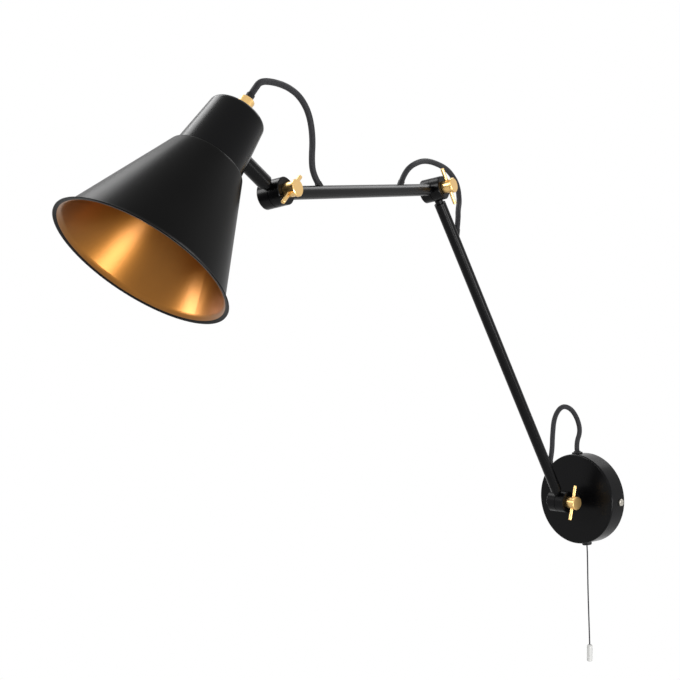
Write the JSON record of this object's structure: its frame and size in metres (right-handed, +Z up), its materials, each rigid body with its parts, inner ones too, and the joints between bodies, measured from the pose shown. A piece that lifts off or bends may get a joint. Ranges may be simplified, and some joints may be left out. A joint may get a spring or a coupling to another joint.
{
  "type": "articulating wall lamp",
  "caption": "Wall lamp on a round rose: folding tube arms with clamped friction hinges, a braided cable looped past each hinge, and a spun cone shade on a tapered cup.",
  "frame": {"origin": "centre of the wall rose's back, on the wall", "axes": "+Y into the wall, +Z up, +X to the right of somebody who faces the wall; the lamp reaches out along -Y"},
  "size_m": [0.2345, 0.7923, 0.6461],
  "materials": {
    "black_satin": "satin black powder coat",
    "shade_two_tone": "matt black outside, metallic gold paint inside",
    "satin_brass": "satin brushed brass",
    "black_moulding": "matt black moulded plastic",
    "charcoal_braid": "charcoal braided textile over a round flex",
    "core_sheath": "smooth core insulation",
    "zinc_steel": "zinc plated",
    "nickel_steel": "nickel plated, slotted",
    "terminal_white": "semi-gloss white moulding",
    "holder_black": "semi-matt black insulating moulding",
    "contact_brass": "bright brass",
    "shell_nickel": "nickel plated sheet",
    "fibre_grey": "grey friction fibre",
    "pull_cord_grey": "fine dark grey cord",
    "bell_white": "milky translucent plastic"
  },
  "bodies": {
    "wall_base": {"rose_cover": "black_satin", "wall_bracket": "zinc_steel", "cover_side_screws": "nickel_steel", "earth_screw": "zinc_steel", "terminal_block": "terminal_white", "pull_switch_body": "black_moulding", "pull_switch_collar": "black_moulding", "rose_cable_gland": "black_moulding", "rose_cable_run": "charcoal_braid", "stem": "black_satin", "stem_locknut": "zinc_steel", "base_hinge_fixed_half": "black_satin", "base_friction_washer": "fibre_grey", "base_pivot_screw": "satin_brass"},
    "lower_arm": {"base_hinge_moving_half": "black_satin", "lower_arm_tube": "black_satin", "lower_arm_ferrules": "black_moulding", "lower_arm_cores": "core_sheath", "lower_arm_grub_screws": "black_satin", "base_cable_loop": "charcoal_braid"},
    "elbow_joint": {"elbow_hinge_fixed_half": "black_satin", "elbow_friction_washer": "fibre_grey", "elbow_pivot_screw": "satin_brass", "elbow_cable_loop_lower": "charcoal_braid"},
    "upper_arm": {"elbow_hinge_moving_half": "black_satin", "upper_arm_tube": "black_satin", "upper_arm_ferrules": "black_moulding", "upper_arm_cores": "core_sheath", "upper_arm_grub_screws": "black_satin", "head_hinge_fixed_half": "black_satin", "head_friction_washer": "fibre_grey", "head_pivot_screw": "satin_brass", "elbow_cable_loop_upper": "charcoal_braid"},
    "head_joint": {"head_hinge_moving_half": "black_satin", "head_cable_loop_arm": "charcoal_braid"},
    "lamp_head": {"stub_tube": "black_satin", "stub_grub_screw": "black_satin", "stub_bolt": "zinc_steel", "stub_saddle_washer": "zinc_steel", "stub_nut": "zinc_steel", "lamp_cup": "black_satin", "cable_grip": "satin_brass", "holder_nipple": "zinc_steel", "nipple_nut": "zinc_steel", "cable_collar": "black_moulding", "head_cable_run": "charcoal_braid", "lampholder_body": "holder_black", "lampholder_shell": "shell_nickel", "lampholder_contact": "contact_brass", "shade": "shade_two_tone", "shade_ring": "holder_black", "head_cable_loop_cup": "charcoal_braid"},
    "base_knob": {"base_clamp_knob": "satin_brass", "base_tommy_bar": "satin_brass"},
    "elbow_knob": {"elbow_clamp_knob": "satin_brass", "elbow_tommy_bar": "satin_brass"},
    "head_knob": {"head_clamp_knob": "satin_brass", "head_tommy_bar": "satin_brass"},
    "pull": {"pull_cord": "pull_cord_grey", "pull_bell": "bell_white"}
  },
  "joints": [
    {"name": "base_tilt", "type": "hinge", "parent": "wall_base", "child": "lower_arm", "pos_m": [0, -0.0534, 0], "axis": [1, 0, 0], "range_deg": [-30, 75], "deforming": ["base_cable_loop"]},
    {"name": "elbow_swivel", "type": "hinge", "parent": "lower_arm", "child": "elbow_joint", "pos_m": [0, -0.27912, 0.36834], "axis": [0, -0.5225, 0.8526], "range_deg": [-45, 45], "deforming": ["elbow_cable_loop_lower"]},
    {"name": "elbow_fold", "type": "hinge", "parent": "elbow_joint", "child": "upper_arm", "pos_m": [0, -0.27912, 0.36834], "axis": [0.9542, 0.255, 0.1562], "range_deg": [-60, 45], "deforming": ["elbow_cable_loop_upper"]},
    {"name": "head_tilt", "type": "hinge", "parent": "upper_arm", "child": "head_joint", "pos_m": [0.08307, -0.57343, 0.34129], "axis": [0.9542, 0.255, 0.1562], "range_deg": [-45, 50], "deforming": ["head_cable_loop_arm"]},
    {"name": "shade_swivel", "type": "hinge", "parent": "head_joint", "child": "lamp_head", "pos_m": [0.08307, -0.57343, 0.34129], "axis": [0.1427, -0.8474, 0.5114], "range_deg": [-60, 60], "deforming": ["head_cable_loop_cup"]},
    {"name": "base_knob_turn", "type": "hinge", "parent": "wall_base", "child": "base_knob", "pos_m": [0, -0.0534, 0], "axis": [1, 0, 0], "range_deg": [0, 180]},
    {"name": "elbow_knob_turn", "type": "hinge", "parent": "elbow_joint", "child": "elbow_knob", "pos_m": [0, -0.27912, 0.36834], "axis": [0.9542, 0.255, 0.1562], "range_deg": [0, 180]},
    {"name": "head_knob_turn", "type": "hinge", "parent": "upper_arm", "child": "head_knob", "pos_m": [0.08307, -0.57343, 0.34129], "axis": [0.9542, 0.255, 0.1562], "range_deg": [0, 180]},
    {"name": "cord_pull", "type": "slide", "parent": "wall_base", "child": "pull", "axis": [0.1564, 0, -0.9877], "range_m": [0, 0.008], "stiffness_N_per_m": 150}
  ]
}
